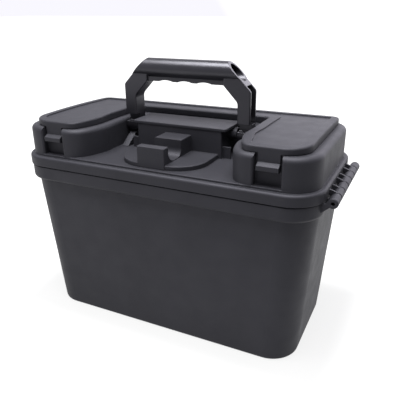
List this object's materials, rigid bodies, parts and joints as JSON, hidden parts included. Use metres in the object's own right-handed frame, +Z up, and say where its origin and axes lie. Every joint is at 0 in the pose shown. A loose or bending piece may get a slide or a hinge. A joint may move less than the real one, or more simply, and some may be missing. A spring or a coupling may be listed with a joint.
{
  "type": "rigid carry box",
  "caption": "Rigid moulded carry box with an end-hinged latching lid, a sealing gasket, a folding arch handle and a U-shaped storage compartment with its own hinged cover on top.",
  "frame": {"origin": "middle of the tub's flat underside, the face the box stands on", "axes": "+X towards the hinge end, +Y towards the back where the storage cover is hinged, +Z up"},
  "size_m": [0.4149, 0.19, 0.3256],
  "materials": {
    "shell_plastic": "fine moulded texture, satin",
    "handle_plastic": "smooth satin",
    "gasket_rubber": "matt",
    "steel_pin": "drawn wire, blackened by handling"
  },
  "bodies": {
    "tub": {"tub_shell": "shell_plastic", "main_hinge_pin": "steel_pin"},
    "lid": {"lid_shell": "shell_plastic", "lid_gasket": "gasket_rubber", "latch_pin": "steel_pin", "cover_pin_left": "steel_pin", "cover_pin_right": "steel_pin"},
    "cover": {"storage_cover": "shell_plastic"},
    "handle": {"handle_frame": "handle_plastic", "handle_pin_left": "handle_plastic", "handle_pin_right": "handle_plastic"},
    "latch": {"latch_lever": "handle_plastic"}
  },
  "joints": [
    {"name": "lid_hinge", "type": "hinge", "parent": "tub", "child": "lid", "pos_m": [0.198, 0, 0.2012], "axis": [0, 1, 0], "range_deg": [0, 110]},
    {"name": "cover_hinge", "type": "hinge", "parent": "lid", "child": "cover", "pos_m": [0, 0.0845, 0.2516], "axis": [-1, 0, 0], "range_deg": [0, 110]},
    {"name": "handle_fold", "type": "hinge", "parent": "lid", "child": "handle", "pos_m": [0, 0.008, 0.242], "axis": [1, 0, 0], "range_deg": [0, 95]},
    {"name": "latch_swing", "type": "hinge", "parent": "lid", "child": "latch", "pos_m": [-0.1975, 0, 0.208], "axis": [0, 1, 0], "range_deg": [-6.5, 88.5]}
  ]
}
